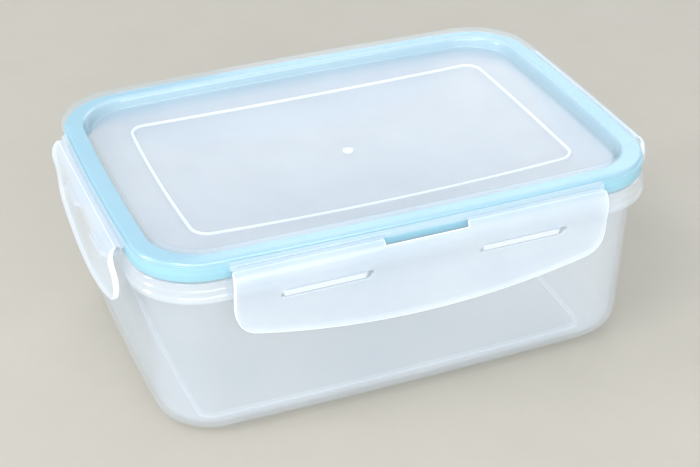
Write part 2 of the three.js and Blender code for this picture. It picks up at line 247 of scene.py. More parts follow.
class Skin:
    """The points, in millimetres, the faces and the finishes of a piece that is being made."""

    def __init__(self, finish: "Finish") -> None:
        """Starts empty, in one finish."""
        self.points: list[np.ndarray] = []
        self.faces: list[tuple[int, ...]] = []
        self.dressing: list[tuple[int, Finish]] = []
        self.dress(finish)

    def dress(self, finish: "Finish") -> None:
        """Gives a finish to the faces that are made from here on."""
        self.dressing.append((len(self.faces), finish))

    def add(self, points: np.ndarray) -> list[int]:
        """Adds points, as rows of x, y and z, and returns their numbers."""
        first = len(self.points)
        self.points.extend(points)
        return list(range(first, len(self.points)))

    def wrap(self, rings: Sequence[list[int]]) -> None:
        """Joins neighbouring rings of equal length with faces."""
        for low, high in pairwise(rings):
            self.faces += [(low[i - 1], low[i], high[i], high[i - 1]) for i, _ in enumerate(low)]

    def cap(self, ring: list[int]) -> None:
        """Closes a ring with a fan."""
        middle = self.add(np.mean([self.points[i] for i in ring], axis=0, keepdims=True))[0]
        self.faces += [(ring[i - 1], ring[i], middle) for i, _ in enumerate(ring)]

    def loft(self, rings: Sequence[list[int]]) -> None:
        """Joins neighbouring rings with faces and closes the first and the last."""
        self.wrap(rings)
        self.cap(rings[0])
        self.cap(rings[-1])

    def sweep(
        self, runs: Runs, outline: Outline, dip: Callable[[np.ndarray], np.ndarray] | None = None
    ) -> None:
        """Carries a section round an outline. An open section is capped at both ends.

        Args:
            runs: The section's inset and height points, in runs that meet, each with its finish.
            outline: What it follows.
            dip: How far a place in plan sinks, or None.
        """
        closed = runs[0][1][0] == runs[-1][1][-1]
        for finish, section in runs:
            self.dress(finish)
            rings = []
            for inset, height in section:
                plan = outline.loop(inset)
                sunk = dip(plan) if dip else np.zeros(len(plan))
                rings.append(self.add(np.column_stack((plan, height - sunk))))
            self.wrap(rings)
            if not closed and section is runs[0][1]:
                self.cap(rings[0])
            if not closed and section is runs[-1][1]:
                self.cap(rings[-1])

    def cushion(self, plan: np.ndarray, bottom: float, top: float, edge: float) -> None:
        """Adds a flat solid with rounded edges.

        Args:
            plan: Its outline, anticlockwise.
            bottom: Its lower face.
            top: Its upper face.
            edge: Radius of its edges.
        """
        section = [
            *arc((edge, bottom + edge), edge, 270, 180, 3),
            *arc((edge, top - edge), edge, 180, 90, 3),
        ]
        rings = []
        for inset, height in section:
            loop = moved_in(plan, inset)
            rings.append(self.add(np.column_stack((loop, np.full(len(loop), height)))))
        self.loft(rings)

    def turned(self, side: "Side") -> "Skin":
        """Turns what was drawn for the front into another side's place, and returns the skin."""
        cosine, sine = math.cos(side.turn), math.sin(side.turn)
        self.points = [
            np.array((cosine * x - sine * y, sine * x + cosine * y, z)) for x, y, z in self.points
        ]
        return self

    def joined(self, other: "Skin") -> None:
        """Takes in another skin's points and faces, in their own finishes."""
        self.dressing += [(len(self.faces) + start, finish) for start, finish in other.dressing]
        first = len(self.points)
        self.points.extend(other.points)
        self.faces += [tuple(first + i for i in face) for face in other.faces]

    def build(self, name: str) -> bpy.types.Object:
        """Makes the Blender object.

        Args:
            name: Its name.

        Returns:
            The object, in the scene.
        """
        mesh = bpy.data.meshes.new(name)
        mesh.from_pydata([tuple(point * MM) for point in self.points], [], self.faces)
        finishes = list(dict.fromkeys(finish for _, finish in self.dressing))
        for finish in finishes:
            mesh.materials.append(finish.material())
        slots = np.zeros(len(self.faces), dtype=np.int32)
        for start, finish in self.dressing:
            slots[start:] = finishes.index(finish)
        mesh.polygons.foreach_set("material_index", slots)
        work = bmesh.new()
        work.from_mesh(mesh)
        bmesh.ops.remove_doubles(work, verts=work.verts, dist=SAME_PLACE)
        bmesh.ops.recalc_face_normals(work, faces=work.faces)
        work.to_mesh(mesh)
        work.free()
        mesh.shade_smooth()
        mesh.set_sharp_from_angle(angle=SMOOTH_ANGLE)
        piece = bpy.data.objects.new(name, mesh)
        bpy.context.scene.collection.objects.link(piece)
        piece.modifiers.new("even_shading", "WEIGHTED_NORMAL").keep_sharp = True
        return piece


# ---- Materials ----


class Value:
    """A shader socket that takes part in sums; each sum adds a Math node."""

    def __init__(self, graph: "Graph", socket: bpy.types.NodeSocket | None) -> None:
        """Wraps a socket of a graph, or nothing where a node has no output."""
        self.graph = graph
        self.socket = socket

    def _maths(self, operation: str, first: "Value | float", second: "Value | float") -> "Value":
        """Adds the Math node of one operation and returns its result."""
        return self.graph.node("ShaderNodeMath", {"operation": operation}, {0: first, 1: second})

    def __add__(self, other: "Value | float") -> "Value":
        """Sum."""
        return self._maths("ADD", self, other)

    def __radd__(self, other: float) -> "Value":
        """Reflected sum."""
        return self._maths("ADD", other, self)

    def __sub__(self, other: "Value | float") -> "Value":
        """Difference."""
        return self._maths("SUBTRACT", self, other)

    def __rsub__(self, other: float) -> "Value":
        """Reflected difference."""
        return self._maths("SUBTRACT", other, self)

    def __mul__(self, other: "Value | float") -> "Value":
        """Product."""
        return self._maths("MULTIPLY", self, other)

    def __rmul__(self, other: float) -> "Value":
        """Reflected product."""
        return self._maths("MULTIPLY", other, self)


class Graph:
    """The node tree of one material."""

    MIX_FIRST, MIX_SECOND, MIX_RESULT = 6, 7, 2  # the colour sockets of a Mix node

    def __init__(self, name: str) -> None:
        """Makes an empty material."""
        self.material = bpy.data.materials.new(name)
        self.material.use_nodes = True
        self.tree = self.material.node_tree
        self.tree.nodes.clear()

    def node(self, kind: str, settings: dict, inputs: dict, output: int | str = 0) -> Value:
        """Adds a node.

        Args:
            kind: Its type.
            settings: Its properties, which are set first.
            inputs: Values or links, by socket.
            output: The socket that is wanted.

        Returns:
            That output.
        """
        node = self.tree.nodes.new(kind)
        for key, value in settings.items():
            setattr(node, key, value)
        for key, value in inputs.items():
            if isinstance(value, Value):
                self.tree.links.new(value.socket, node.inputs[key])
            else:
                node.inputs[key].default_value = value
        return Value(self, node.outputs[output] if node.outputs else None)

    def place(self) -> Value:
        """Place on the object, in metres."""
        return self.node("ShaderNodeTexCoord", {}, {}, "Object")

    def noise(self, place: Value, size: float, detail: float = 2.0) -> Value:
        """Soft noise around 0.5, with features of about a size in millimetres."""
        inputs = {"Vector": place, "Scale": 1 / (size * MM), "Detail": detail}
        return self.node("ShaderNodeTexNoise", {}, inputs)

    def stretched(self, place: Value, factors: tuple[float, float, float]) -> Value:
        """A place with its axes scaled, for drawn-out noise."""
        return self.node("ShaderNodeVectorMath", {"operation": "MULTIPLY"}, {0: place, 1: factors})

    def blended(self, share: Value, first: tuple, second: tuple) -> Value:
        """A colour between two colours."""
        settings = {"data_type": "RGBA", "clamp_factor": True}
        inputs = {0: share, self.MIX_FIRST: (*first, 1), self.MIX_SECOND: (*second, 1)}
        return self.node("ShaderNodeMix", settings, inputs, self.MIX_RESULT)

    def finish(self, surface: Value) -> bpy.types.Material:
        """Joins the surface to the output and returns the material."""
        self.node("ShaderNodeOutputMaterial", {}, {"Surface": surface})
        return self.material


@dataclass(frozen=True)
class Finish:
    """A moulded finish: cloudy colour, faint flow marks, fine orange peel, handling haze and, where set, a
    painted glow.

    The sizes and the peel's height are in millimetres.
    """

    name: str
    colour: tuple[float, float, float]
    cloud: tuple[float, float, float]
    opacity: float
    roughness: float
    cloudiness: float = 0.03
    scuffing: float = 0.10
    mirror: float = 0.045
    peel: float = 0.05
    peel_size: float = 1.6
    peel_height: float = 0.4
    cloud_size: float = 34.0
    cloud_weight: float = 1.6
    haze_size: float = 12.0
    flow_size: float = 9.0
    flow_weight: float = 0.8
    flow_relief: float = 1.5
    flow: tuple[float, float, float] = (1.0, 1.0, 1.0)
    painted_glow: float = 0.0  # painted glow: emission standing in for the light that the plastic leads to its edges

    @property
    def index(self) -> float:
        """Refractive index that keeps the mirror share of the whole surface, however clear it is."""
        root = math.sqrt(min(self.mirror / self.opacity, 0.5) / 2)
        return (1 + root) / (1 - root)

    def material(self) -> bpy.types.Material:
        """Makes the material, or finds it if it was made before."""
        title = f"{self.name}_finish"
        made = bpy.data.materials.get(title)
        if made:
            return made
        graph = Graph(title)
        place = graph.place()
        clouds = graph.noise(place, self.cloud_size, 3)
        drawn = graph.noise(graph.stretched(place, self.flow), self.flow_size, 3)
        middle = (self.cloud_weight + self.flow_weight - 1) / 2
        share = clouds * self.cloud_weight + drawn * self.flow_weight - middle
        haze = graph.noise(place, self.haze_size, 4)
        fine = graph.noise(place, self.peel_size, 2)
        relief = {
            "Strength": self.peel,
            "Distance": self.peel_height * MM,
            "Height": fine + drawn * self.flow_relief,
        }
        inputs = {
            "Base Color": graph.blended(share, self.colour, self.cloud),
            "Roughness": self.roughness + (haze - 0.5) * self.scuffing,
            "Normal": graph.node("ShaderNodeBump", {}, relief),
            "IOR": self.index,
            "Specular IOR Level": 1.0,
            # the painted glow: emission in the plastic's own colour, standing in for light led through the
            # plastic
            "Emission Color": (*self.colour, 1.0),
            "Emission Strength": self.painted_glow,
        }
        if self.opacity < 1:
            inputs["Alpha"] = self.opacity + (clouds - 0.5) * self.cloudiness
        return graph.finish(graph.node("ShaderNodeBsdfPrincipled", {}, inputs))


# The same polypropylene looks clearer where it is polished and milkier where it is thick.
TUB_PLASTIC = Finish("tub_plastic", (0.84, 0.91, 1.0), (0.90, 0.96, 1.0), 0.27, 0.20, flow=(1, 1, 0.15))
RIM_PLASTIC = Finish("rim_plastic", (0.84, 0.92, 1.0), (0.90, 0.96, 1.0), 0.27, 0.12)
PANEL_PLASTIC = Finish(
    "panel_plastic", (0.63, 0.70, 0.79), (0.70, 0.77, 0.85), 0.40, 0.30, flow=(0.3, 0.3, 1)
)
CROWN_PLASTIC = Finish("crown_plastic", (0.60, 0.78, 0.90), (0.70, 0.85, 0.95), 0.14, 0.12)
SHOULDER_PLASTIC = Finish("shoulder_plastic", (0.86, 0.93, 1.0), (0.91, 0.96, 1.0), 0.28, 0.14)
FLAP_PLASTIC = Finish(
    "flap_plastic", (0.74, 0.84, 0.96), (0.84, 0.92, 1.0), 0.39, 0.20, cloudiness=0.06, flow=(0.15, 0.15, 1)
)
# Milkier, lighter plastic for the raised lines, catches, hems and foot ring sides, with a faint painted
# glow for brightness.
RAISED_LINES_PAINTED_GLOW = Finish("raised_lines", (0.88, 0.93, 0.98), (0.93, 0.97, 1.0), 0.64, 0.22, painted_glow=0.03)
# Lighter, more opaque plastic with a strong painted glow, for the bright outer edges of the flaps.
PAINTED_EDGE_GLOW = Finish("lit_edges", (0.92, 0.96, 1.0), (0.95, 0.98, 1.0), 0.70, 0.18, painted_glow=0.18)
SEAL_RUBBER = Finish("seal_rubber", (0.33, 0.60, 0.71), (0.36, 0.64, 0.75), 1.0, 0.36, peel=0.03)
FLOOR_CARD = Finish("floor_card", (0.54, 0.50, 0.43), (0.56, 0.52, 0.45), 1.0, 0.8, mirror=0.01)


# ---- Sides and their hinges ----


class SideName(Enum):
    """The four sides, by the quarter turns that take the front to them."""

    FRONT = 0
    RIGHT = 1
    BACK = 2
    LEFT = 3

    @property
    def is_long(self) -> bool:
        """Whether it is one of the two long sides, whose flaps have a notch in their hinge."""
        return self in (SideName.FRONT, SideName.BACK)


@dataclass(frozen=True)
class Side:
    """One side of the box: its flap, its hinge axis and its two catches."""

    name: SideName
    flap: float
    catch_middle: float
    catch_length: float

    @property
    def label(self) -> str:
        """The side's name in node names."""
        return self.name.name.lower()

    @property
    def turn(self) -> float:
        """The turn from the front to this side, in radians."""
        return self.name.value * math.pi / 2

    @property
    def hinge_out(self) -> float:
        """Distance of the hinge axis from the middle of the box, from the frame."""
        return math.hypot(*self._hinge()[:2]) / MM

    @property
    def hinge_height(self) -> float:
        """Height of the hinge axis, from the frame."""
        return self._hinge()[2] / MM

    def _hinge(self) -> Sequence[float]:
        """The joint's point in the frame, in metres."""
        name = f"flap_{self.label}_hinge"
        return next(joint["pos_m"] for joint in frame["joints"] if joint["name"] == name)

    def section(self, along: float, points: Points) -> np.ndarray:
        """Rows of x, y and z, on the front, of points out and up from the hinge axis."""
        return np.array([(along, -(self.hinge_out + out), self.hinge_height + up) for out, up in points])

    def place(self, along: float, out: float, up: float) -> Vector:
        """A point in metres from its place beside the hinge axis."""
        spot = Vector((along, -(self.hinge_out + out), self.hinge_height + up))
        return Matrix.Rotation(self.turn, 3, "Z") @ spot * MM


SIDES = tuple(
    Side(name, flap=143.6, catch_middle=37.9, catch_length=32.0) if name.is_long
    else Side(name, flap=86.0, catch_middle=19.3, catch_length=16.5)
    for name in SideName
)
WEB_GAP = 0.65  # hinge axis to the edges that a web joins
NOTCH_LENGTH = 32.0  # opening between the two stretches of a long flap's hinge
RIM_TOP = 72.0
CATCH_BOTTOM = 63.8
CATCH_REACH = 2.6  # beyond the hinge axis, into the slots


# ---- Tub ----


@dataclass(frozen=True)
class Tub:
    """The tapered tub with its stepped rim, foot ring and eight catches."""

    foot: float = 1.2
    wall: float = 1.5
    bottom_radius: float = 10.0
    draft: float = math.tan(math.radians(2.3))
    flange_bottom: float = 64.0
    flange_width: float = 3.9
    rim_under: float = 70.5
    flange: Corners = (  # under the rim, down inside the hook, up its stepped face and over the top
        (2.1, rim_under, 0.3), (1.6, flange_bottom, 0.35), (0.0, flange_bottom, 0.6),
        (0.0, 66.1, 0.4), (0.4, 66.8, 0.4), (0.4, 68.8, 0.3), (0.8, 69.4, 0.3),
        (0.8, RIM_TOP, 0.6), (5.2, RIM_TOP, 0.7),
    )
    floor_edge: float = 24.0
    floor_insets: Sequence[float] = (68.0, 52.0, 40.0, 30.0, 26.0)
    catch_thickness: float = 2.1
    catch_cut: float = 1.8
    catch_root: float = 4.1
    catch_edge: float = 0.35
    ring: Outline = Outline(158.3, 101.2, 5.0, 1.1, corner_steps=8)
    ring_line: float = 1.8
    ring_sunk: float = 0.3

    def wall_inset(self, height: float) -> float:
        """Inset of the outside of the wall at a height."""
        return self.flange_width + (self.flange_bottom - height) * self.draft

    def floor(self, height: float) -> PointList:
        """Section of one face of the floor, from near the middle outwards."""
        return [(inset, height) for inset in self.floor_insets]

    def shell(self) -> Runs:
        """The shell's section, from the middle of the floor up the outside and down the inside."""
        floor_top = self.foot + self.wall
        inner_foot = self.wall_inset(floor_top) + self.wall
        bend = 6
        outside = rounded(
            [
                (self.floor_edge, self.foot, 0),
                (self.wall_inset(self.foot), self.foot, self.bottom_radius),
                (self.wall_inset(self.rim_under), self.rim_under, 0.5),
                *self.flange,
                (inner_foot, floor_top, self.bottom_radius - self.wall),
                (self.floor_edge, floor_top, 0),
            ],
            steps=bend,
        )
        rim_start, rim_end = bend + 2, len(outside) - bend - 2
        return [
            (TUB_PLASTIC, [*self.floor(self.foot), *outside[:rim_start + 1]]),
            (RIM_PLASTIC, outside[rim_start:rim_end]),
            (TUB_PLASTIC, [*outside[rim_end - 1:], *reversed(self.floor(floor_top))]),
        ]

    def foot_runs(self) -> Runs:
        """The foot ring's section, sunk a little into the floor, with its two sides milky, lighter and
        given a faint painted glow.
        """
        half = self.ring_line / 2
        top = self.foot + self.ring_sunk
        bend = 4
        loop = rounded(
            [(half, top, 0.1), (-half, top, 0.1), (-half, 0, 0.4), (half, 0, 0.4)], closed=True, steps=bend
        )
        loop += loop[:bend]
        starts = range(bend // 2, len(loop) - bend, bend + 1)  # the middles of the corners
        finishes = (TUB_PLASTIC, RAISED_LINES_PAINTED_GLOW, TUB_PLASTIC, RAISED_LINES_PAINTED_GLOW)
        return [(finish, loop[start:start + bend + 2]) for finish, start in zip(finishes, starts)]

    def catch(self, side: Side, middle: float) -> Skin:
        """One catch on a side.

        Args:
            side: The side.
            middle: Its place along the side.

        Returns:
            The catch in place.
        """
        inner = side.hinge_out - self.catch_root
        outer = side.hinge_out + CATCH_REACH
        half = side.catch_length / 2
        corners = [
            (middle - half, -inner, 0.2),
            (middle - half, -outer, 0.8),
            (middle + half - self.catch_cut, -outer, 1.2),
            (middle + half, -outer + self.catch_cut, 1.2),
            (middle + half, -inner, 0.2),
        ]
        skin = Skin(RAISED_LINES_PAINTED_GLOW)
        plan = np.array(rounded(corners, closed=True))
        skin.cushion(plan, CATCH_BOTTOM, CATCH_BOTTOM + self.catch_thickness, self.catch_edge)
        return skin.turned(side)

    def build(self) -> bpy.types.Object:
        """Makes the tub and rides it on its body."""
        skin = Skin(TUB_PLASTIC)
        skin.sweep(self.shell(), RIM)
        skin.sweep(self.foot_runs(), self.ring)
        for side in SIDES:
            for sign in (-1, 1):
                skin.joined(self.catch(side, sign * side.catch_middle))
        piece = skin.build("tub_moulding")
        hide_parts("tub")
        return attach(piece, "tub")


# ---- Lid ----


@dataclass(frozen=True)
class Lid:
    """The lid: crown, plug wall, dished panel with its raised line and mark, and hinge ledges."""

    wall: float = 1.4
    panel_top: float = 76.2
    panel_sag: float = 4.6
    panel_inset: float = 10.3
    lip_bottom: float = 78.2
    channel_roof: float = 79.6
    plug_bottom: float = 70.0
    plug_wall: float = 1.3
    crown_width: float = 9.5
    crown_radius: float = 2.3
    ring_step: float = 2.6
    seat: Outline = Outline(150.3, 88.9, 6.0, 1.1, corner_steps=8, side_steps=40)
    seat_line: float = 1.4
    seat_height: float = 0.5
    mark_radius: float = 2.2
    mark_line: float = 0.8
    mark_points: int = 36
    ledge_rings: int = 36

    @property
    def top(self) -> float:
        """Height of the crown, from the frame."""
        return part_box("lid")[1][2] / MM

    def dip(self, plan: np.ndarray) -> np.ndarray:
        """How far the panel sinks at places in plan."""
        reach = RIM.bow - (RIM.bow_ease + 1) * self.panel_inset
        along = np.clip(1 - (plan[:, 0] / (RIM.length / 2 + reach)) ** 2, 0, None)
        across = np.clip(1 - (plan[:, 1] / (RIM.width / 2 + reach)) ** 2, 0, None)
        return self.panel_sag * along * across

    def panel(self, height: float) -> PointList:
        """Section of one face of the panel, from near its edge to near its middle."""
        insets = np.arange(self.panel_inset + 2, RIM.width / 2 - 1, self.ring_step)
        return [(float(inset), height) for inset in insets]

    def shell(self) -> Runs:
        """The shell's section: the panel's underside, clear crown, its shoulder, the panel's top."""
        bend = 7
        clear_end, shoulder_end = bend + 3, 2 * bend + 6  # inside the shoulder's first two bends
        under = self.panel_top - self.wall
        edge = self.panel(under)[0][0]
        crown = rounded(
            [
                (edge, under, 0),
                (self.panel_inset, under, 0.4),
                (self.panel_inset, self.plug_bottom, 0.5),
                (self.panel_inset - self.plug_wall, self.plug_bottom, 0.5),
                (self.crown_width - self.plug_wall, self.channel_roof, 0.5),
                (self.wall, self.channel_roof, 1.0),
                (self.wall, self.lip_bottom, 0.4),
                (0, self.lip_bottom, 0.5),
                (0, self.top, self.crown_radius),
            ],
            steps=bend,
        )[:-1]
        shoulder = rounded(
            [
                (0, self.lip_bottom, 0),
                (0, self.top, self.crown_radius),
                (self.crown_width, self.top, self.crown_radius),
                (self.panel_inset - 0.1, self.panel_top, 0.9),
                (edge, self.panel_top, 0),
            ],
            steps=bend,
        )[1:]
        return [
            (PANEL_PLASTIC, [*reversed(self.panel(under)), crown[1]]),
            (CROWN_PLASTIC, [*crown[1:], *shoulder[:clear_end + 1]]),
            (SHOULDER_PLASTIC, shoulder[clear_end:shoulder_end + 1]),
            (PANEL_PLASTIC, [*shoulder[shoulder_end:-1], *self.panel(self.panel_top)]),
        ]

    def seat_section(self) -> PointList:
        """The raised line's section: a low rounded bead sunk a little into the panel."""
        half = self.seat_line / 2
        low = self.panel_top - 0.2
        high = self.panel_top + self.seat_height
        loop = rounded(
            [(half, low, 0.05), (half, high, 0.4), (-half, high, 0.4), (-half, low, 0.05)], closed=True
        )
        return [*loop, loop[0]]

    def mark(self) -> Skin:
        """The round mark in the middle of the panel: a ring round a small flat."""
        base = self.panel_top - self.panel_sag
        outer, inner = self.mark_radius, self.mark_radius - self.mark_line
        low, high = base + 0.1, base + 0.4
        corners = [
            (outer, base - 0.2, 0),
            (outer, high, 0.25),
            (inner, high, 0.25),
            (inner, low, 0.1),
            (0.5, low, 0),
        ]
        skin = Skin(RAISED_LINES_PAINTED_GLOW)
        angles = np.radians(np.arange(self.mark_points) * (360 / self.mark_points))
        rings = []
        for radius, height in rounded(corners):
            x, y = radius * np.cos(angles), radius * np.sin(angles)
            rings.append(skin.add(np.column_stack((x, y, np.full(len(angles), height)))))
        skin.loft(rings)
        return skin

    def ledge(self, side: Side) -> Skin:
        """The straight ledge under the lip of one side, from which its webs spring."""
        half = self.wall / 2
        skin = Skin(SHOULDER_PLASTIC)
        rings = []
        for along in np.linspace(side.flap / 2, -side.flap / 2, self.ledge_rings):
            root = self.lip_line(along, side) - side.hinge_out - 0.9
            corners = [
                (-WEB_GAP, -half, 0.25),
                (-WEB_GAP, half, 0.3),
                (-0.9, 1.4, 0.1),
                (root, 1.9, 0),
                (root, -half, 0.1),
            ]
            rings.append(skin.add(side.section(along, rounded(corners, closed=True, steps=3))))
        skin.loft(rings)
        return skin.turned(side)

    def lip_line(self, along: float, side: Side) -> float:
        """Distance of the lip's outer face from the middle of the box, at a place along a side."""
        length, width = (RIM.length, RIM.width) if side.name.is_long else (RIM.width, RIM.length)
        return width / 2 + RIM.bow * (1 - (2 * along / length) ** 2)

    def build(self) -> bpy.types.Object:
        """Makes the lid and rides it on its body."""
        skin = Skin(PANEL_PLASTIC)
        skin.sweep(self.shell(), RIM, self.dip)
        skin.sweep([(RAISED_LINES_PAINTED_GLOW, self.seat_section())], self.seat, self.dip)
        skin.joined(self.mark())
        for side in SIDES:
            skin.joined(self.ledge(side))
        piece = skin.build("lid_moulding")
        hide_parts("lid")
        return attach(piece, "lid")


# ---- Seal ----


@dataclass(frozen=True)
class Seal:
    """The silicone ring that fills the lid's channel and bulges out under the lip."""

    gap: float = 0.3

    def section(self, lid: Lid) -> PointList:
        """The ring's closed section, for the lid that holds it."""
        bottom = RIM_TOP + self.gap
        roof = lid.channel_roof - self.gap
        skirt = lid.wall + self.gap
        inner = lid.crown_width - lid.plug_wall - self.gap
        low = lid.plug_bottom + 0.2
        corners = [
            (1.0, bottom, 0.8),
            (0.8, (bottom + lid.lip_bottom) / 2, 6.0),
            (1.0, lid.lip_bottom - self.gap, 0.4),
            (skirt, lid.lip_bottom - self.gap, 0.2),
            (skirt, roof, 0.8),
            (inner - 0.2, roof, 0.5),
            (inner, low, 0.5),
            (6.2, low, 0.5),
            (5.7, bottom, 0.3),
        ]
        loop = rounded(corners, closed=True, steps=5)
        return [*loop, loop[0]]

    def build(self, lid: Lid) -> bpy.types.Object:
        """Makes the seal and rides it on the lid's body."""
        skin = Skin(SEAL_RUBBER)
        skin.sweep([(SEAL_RUBBER, self.section(lid))], RIM)
        piece = skin.build("seal_ring")
        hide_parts("seal")
        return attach(piece, "lid")


# ---- Flaps ----


@dataclass(frozen=True)
class EdgeRing:
    """One ring of a flap's rounded edge: its inset, and its depth below the outer face.

    The depth is a number of wall thicknesses and a length. Where the flap has its hem, both the
    depth and the inset grow by the hem's share. The finish is that of the faces up to the next ring.
    """

    inset: float
    walls: float
    deeper: float
    hem: float = 0.0
    hem_inset: float = 0.0
    finish: Finish = RAISED_LINES_PAINTED_GLOW


@dataclass(frozen=True)
class Flap:
    """A clip flap: a curved face with a turned-in hem, two slots and, on long sides, a notch."""

    side: Side
    wall: float = 1.4
    hinge_wall: float = 0.8
    hinge_fade: float = 2.5
    depth: float = 32.8
    side_depth: float = 25.8
    corner_width: float = 8.0
    corner_height: float = 11.5
    edge: float = 0.4
    hem_width: float = 1.3
    hem_depth: float = 0.7
    hem_start: float = 3.0
    hem_rise: float = 4.0
    hem_round: float = 0.35
    hem_fillet: float = 0.12
    slot_round: float = 0.4
    slot_bottom: float = 63.5
    slot_height: float = 3.2
    slot_margin: float = 1.2
    notch_depth: float = 1.4
    face: Points = (
        (WEB_GAP, 0.1), (1.9, -0.4), (3.4, -2.8), (3.9, -6.5),
        (3.1, -11.5), (2.8, -16), (2.9, -24), (3.0, -33),
    )
    rows: int = 240
    rows_before_fall: int = 8
    corner_steps: int = 14
    arch_steps: int = 64
    border_spacing: float = 2.2
    slot_spacing: float = 1.6
    grid_spacing: float = 2.8
    grid_clear: float = 0.7
    unrolled: np.ndarray = field(init=False, repr=False, compare=False)

    def __post_init__(self) -> None:
        """Works out the face curve: run along it, out, up, and the two parts of its normal."""
        curve = self._smooth(np.array(self.face))
        run = np.concatenate(([0.0], np.cumsum(np.linalg.norm(np.diff(curve, axis=0), axis=1))))
        slope = np.gradient(curve, run, axis=0)
        slope /= np.linalg.norm(slope, axis=1, keepdims=True)
        object.__setattr__(self, "unrolled", np.column_stack((run, curve, -slope[:, 1], slope[:, 0])))

    def _smooth(self, knots: np.ndarray) -> np.ndarray:
        """A smooth curve through the knots.

        Args:
            knots: Rows of out and up.

        Returns:
            Many rows of out and up.
        """
        padded = np.vstack((2 * knots[0] - knots[1], knots, 2 * knots[-1] - knots[-2]))
        rows = [knots[:1]]
        steps = self.rows // (len(knots) - 1)
        share = np.linspace(0, 1, steps + 1)[1:, None]
        for before, start, end, after in zip(padded, padded[1:], padded[2:], padded[3:]):
            rows.append(
                0.5 * (2 * start + (end - before) * share
                       + (2 * before - 5 * start + 4 * end - after) * share ** 2
                       + (3 * start - before - 3 * end + after) * share ** 3)
            )
        return np.vstack(rows)

    def down(self, up: float) -> float:
        """Place on the flat drawing, negative below the hinge edge, of a height beside the hinge."""
        run, _, height = self.unrolled[:, :3].T
        start = self.rows_before_fall
        return -float(np.interp(-up, -height[start:], run[start:]))

    def thickness(self, down: np.ndarray) -> np.ndarray:
        """Wall thickness on the flat drawing, thinner at the hinge edge."""
        share = np.clip(-down / self.hinge_fade, 0, 1)
        return self.hinge_wall + (self.wall - self.hinge_wall) * share * share * (3 - 2 * share)

    def rolled(self, flat: np.ndarray, depth: np.ndarray) -> np.ndarray:
        """Rolls the flat drawing onto the face curve.

        Args:
            flat: Rows of along and down.
            depth: How far each point lies below the outer face.

        Returns:
            Rows of x, y and z for the front side.
        """
        run, out, up, normal_out, normal_up = self.unrolled.T
        place = -flat[:, 1]
        outwards = np.interp(place, run, out) - depth * np.interp(place, run, normal_out)
        upwards = np.interp(place, run, up) - depth * np.interp(place, run, normal_up)
        return np.column_stack(
            (flat[:, 0], -(self.side.hinge_out + outwards), self.side.hinge_height + upwards)
        )

    def border(self) -> np.ndarray:
        """The flap's outline on the flat drawing, anticlockwise."""
        half = self.side.flap / 2
        side, middle = self.down(-self.side_depth), self.down(-self.depth)
        corner_top = side + self.corner_height
        inner = half - self.corner_width
        control = side + self.corner_width * 2 * (side - middle) / inner
        path = [
            *self._bend((-half, corner_top), (-half, control), (-inner, side), self.corner_steps),
            *self._bend((-inner, side), (0, 2 * middle - side), (inner, side), self.arch_steps)[1:],
            *self._bend((inner, side), (half, control), (half, corner_top), self.corner_steps)[1:],
        ]
        top: Corners = [(half, corner_top, 0), (half, 0, 0.8), (-half, 0, 0.8), (-half, corner_top, 0)]
        if self.side.name.is_long:
            reach, floor = NOTCH_LENGTH / 2, self.down(-self.notch_depth)
            notch = [(reach, 0, 0.6), (reach, floor, 0.5), (-reach, floor, 0.3), (-reach, 0, 0.6)]
            top = [*top[:2], *notch, *top[2:]]
        return filled_in([*path, *rounded(top)[1:-1]], self.border_spacing)

    def _bend(self, start: tuple, control: tuple, end: tuple, steps: int) -> PointList:
        """A curve from start to end, drawn towards a control point."""
        rows = []
        for step in range(steps + 1):
            share = step / steps
            weights = ((1 - share) ** 2, 2 * share * (1 - share), share ** 2)
            pulls = list(zip(weights, (start, control, end)))
            rows.append(tuple(sum(weight * point[k] for weight, point in pulls) for k in (0, 1)))
        return rows

    def slot(self, sign: int) -> np.ndarray:
        """One slot's outline on the flat drawing: a bar with two cut corners."""
        middle = sign * self.side.catch_middle
        half = self.side.catch_length / 2 + self.slot_margin
        low = self.down(self.slot_bottom - self.side.hinge_height)
        high = self.down(self.slot_bottom + self.slot_height - self.side.hinge_height)
        cut = (high - low) / 2
        corners = [
            (middle - half, low, 0.5),
            (middle + half - cut, low, 0.7),
            (middle + half, low + cut, 0.5),
            (middle + half, high, 0.5),
            (middle - half + cut, high, 0.7),
            (middle - half, high - cut, 0.5),
        ]
        return filled_in(rounded(corners, closed=True), self.slot_spacing)

    def hem_rings(self) -> list[EdgeRing]:
        """Rings of the border, from the outer face round the hem to the inner face."""
        small = self.hem_round
        # the outer rounding is lighter and carries a painted glow
        rings = [
            EdgeRing(self.edge * (1 - math.sin(a)), 0, self.edge * (1 - math.cos(a)), finish=PAINTED_EDGE_GLOW)
            for a in QUARTER
        ]
        rings += [
            EdgeRing(small * (1 - math.cos(a)), 1, -small * (1 - math.sin(a)), self.hem_depth)
            for a in QUARTER
        ]
        rings[-1] = replace(rings[-1], finish=FLAP_PLASTIC)
        across = self.hem_width - 2 * small
        rings += [
            EdgeRing(small, 1, 0, self.hem_depth - small * (1 - math.cos(a)), across + small * math.sin(a))
            for a in QUARTER
        ]
        rings.append(EdgeRing(small, 1, 0, self.hem_fillet, across + small))
        return [*rings, EdgeRing(small, 1, 0, 0, across + 2 * small)]

    def slot_rings(self) -> list[EdgeRing]:
        """Rings of a slot, from the outer face through to the inner one."""
        small = self.slot_round
        outer = [EdgeRing(-small * (1 - math.sin(a)), 0, small * (1 - math.cos(a))) for a in QUARTER]
        inner = [EdgeRing(ring.inset, 1, -ring.deeper) for ring in reversed(outer)]
        return [replace(ring, finish=FLAP_PLASTIC) for ring in (*outer, *inner)]

